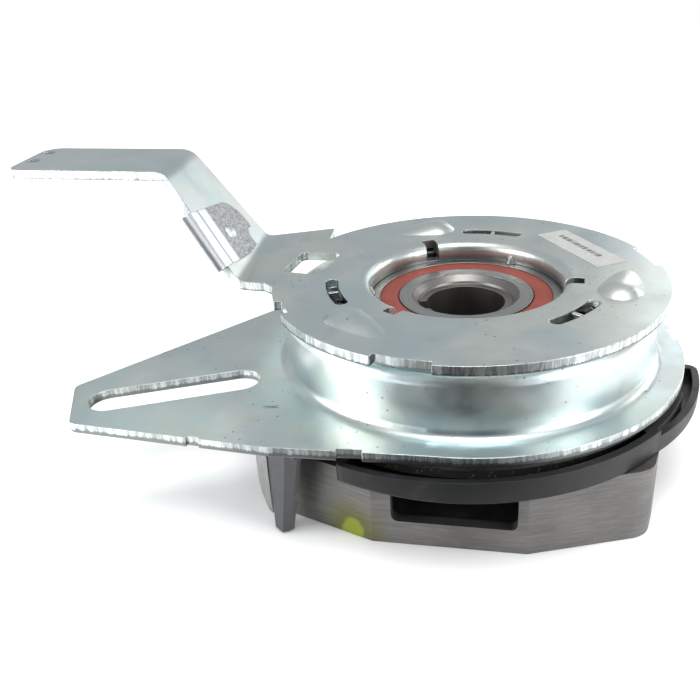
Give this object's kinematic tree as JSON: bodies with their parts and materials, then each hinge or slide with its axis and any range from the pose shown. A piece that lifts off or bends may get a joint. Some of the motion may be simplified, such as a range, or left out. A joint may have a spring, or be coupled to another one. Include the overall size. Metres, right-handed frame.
{
  "type": "blade clutch and brake",
  "caption": "Ball-ramp blade clutch and brake: lever plate over slotted torque-arm plate, sealed bearing and keyed hub, black lobed pressure dish and steel blade carrier.",
  "frame": {"origin": "on the shaft axis, at the hub's flat top land", "axes": "+Z along the bore axis, away from the blade carrier; -Y towards the carrier's window, -X towards the lever tab and torque arm"},
  "size_m": [0.2309, 0.145, 0.095],
  "materials": {
    "zinc_plate": "satin zinc plating",
    "galvanised_strip": "grainy galvanised sheet",
    "rivet_steel": "satin",
    "label": "matte",
    "spring_wire": "dark drawn wire",
    "ball_steel": "polished",
    "bearing_steel": "ground",
    "seal_rubber": "moulded",
    "cage_plastic": "moulded",
    "hub_steel": "turned",
    "drive_steel": "turned",
    "friction": "moulded friction lining",
    "ring_steel": "stamped",
    "dish_black": "black satin coating",
    "finger_black": "black satin coating",
    "band_steel": "raw rolled steel",
    "nut_steel": "raw",
    "disc_spring_steel": "oiled"
  },
  "bodies": {
    "brake_side": {"brake_plate": "zinc_plate", "brake_backing_ring": "ring_steel", "brake_lining_1": "friction", "brake_lining_2": "friction", "brake_lining_3": "friction", "guard_finger": "finger_black", "finger_side_plate": "ring_steel"},
    "return_springs": {"return_spring_1": "spring_wire", "return_spring_2": "spring_wire", "return_spring_3": "spring_wire"},
    "ramp_ball_set": {"ramp_ball_1": "ball_steel", "ramp_ball_2": "ball_steel", "ramp_ball_3": "ball_steel"},
    "lever_side": {"lever_plate": "zinc_plate", "cable_clip": "galvanised_strip", "clip_rivet": "rivet_steel", "label_plate": "label", "hub_bearing_outer_ring": "bearing_steel", "hub_bearing_top_seal": "seal_rubber", "hub_bearing_bottom_seal": "seal_rubber"},
    "bearing_roll": {"hub_bearing_balls": "ball_steel", "hub_bearing_cage": "cage_plastic"},
    "hub_side": {"crank_hub": "hub_steel", "hub_bearing_inner_ring": "bearing_steel", "drive_disc": "drive_steel", "clutch_lining": "friction", "spring_seat": "ring_steel", "disc_springs": "disc_spring_steel", "hub_circlip": "spring_wire"},
    "carrier_race": {"carrier_bearing_inner_ring": "bearing_steel"},
    "carrier_roll": {"carrier_bearing_balls": "ball_steel", "carrier_bearing_cage": "cage_plastic"},
    "carrier_side": {"pressure_dish": "dish_black", "carrier_band": "band_steel", "carrier_base": "band_steel", "bearing_housing": "ring_steel", "carrier_bearing_outer_ring": "bearing_steel", "carrier_bearing_top_seal": "seal_rubber", "carrier_bearing_bottom_seal": "seal_rubber", "housing_circlip": "spring_wire", "blade_nut_1": "nut_steel", "blade_nut_2": "nut_steel"}
  },
  "joints": [
    {"name": "ramp_lift", "type": "slide", "parent": "brake_side", "child": "return_springs", "axis": [0, 0, 1], "range_m": [-0.001, 0]},
    {"name": "lever_turn", "type": "hinge", "parent": "return_springs", "child": "lever_side", "pos_m": [0, 0, 0], "axis": [0, 0, 1], "range_deg": [0, 9.5], "stiffness_Nm_per_rad": 8, "springref_deg": -28.65, "deforming": ["return_spring_1", "return_spring_2", "return_spring_3"]},
    {"name": "ball_roll", "type": "hinge", "parent": "brake_side", "child": "ramp_ball_set", "pos_m": [0, 0, 0], "axis": [0, 0, 1], "range_deg": [0, 4.75]},
    {"name": "crank_spin", "type": "hinge", "parent": "lever_side", "child": "hub_side", "pos_m": [0, 0, 0], "axis": [0, 0, 1], "continuous": true},
    {"name": "hub_bearing_spin", "type": "hinge", "parent": "lever_side", "child": "bearing_roll", "pos_m": [0, 0, 0], "axis": [0, 0, 1], "continuous": true},
    {"name": "carrier_lift", "type": "slide", "parent": "hub_side", "child": "carrier_race", "axis": [0, 0, 1], "range_m": [0, 0.0007], "deforming": ["disc_springs"]},
    {"name": "carrier_spin", "type": "hinge", "parent": "carrier_race", "child": "carrier_side", "pos_m": [0, 0, 0], "axis": [0, 0, 1], "continuous": true},
    {"name": "carrier_bearing_spin", "type": "hinge", "parent": "carrier_race", "child": "carrier_roll", "pos_m": [0, 0, 0], "axis": [0, 0, 1], "continuous": true}
  ],
  "couplings": [
    {"joint": "ramp_lift", "follows": "lever_turn", "m_per_rad": -0.00603},
    {"joint": "ball_roll", "follows": "lever_turn", "ratio": 0.5},
    {"joint": "carrier_lift", "follows": "lever_turn", "m_per_rad": 0.00422},
    {"joint": "hub_bearing_spin", "follows": "crank_spin", "ratio": 0.4196},
    {"joint": "carrier_bearing_spin", "follows": "carrier_spin", "ratio": 0.5804}
  ]
}
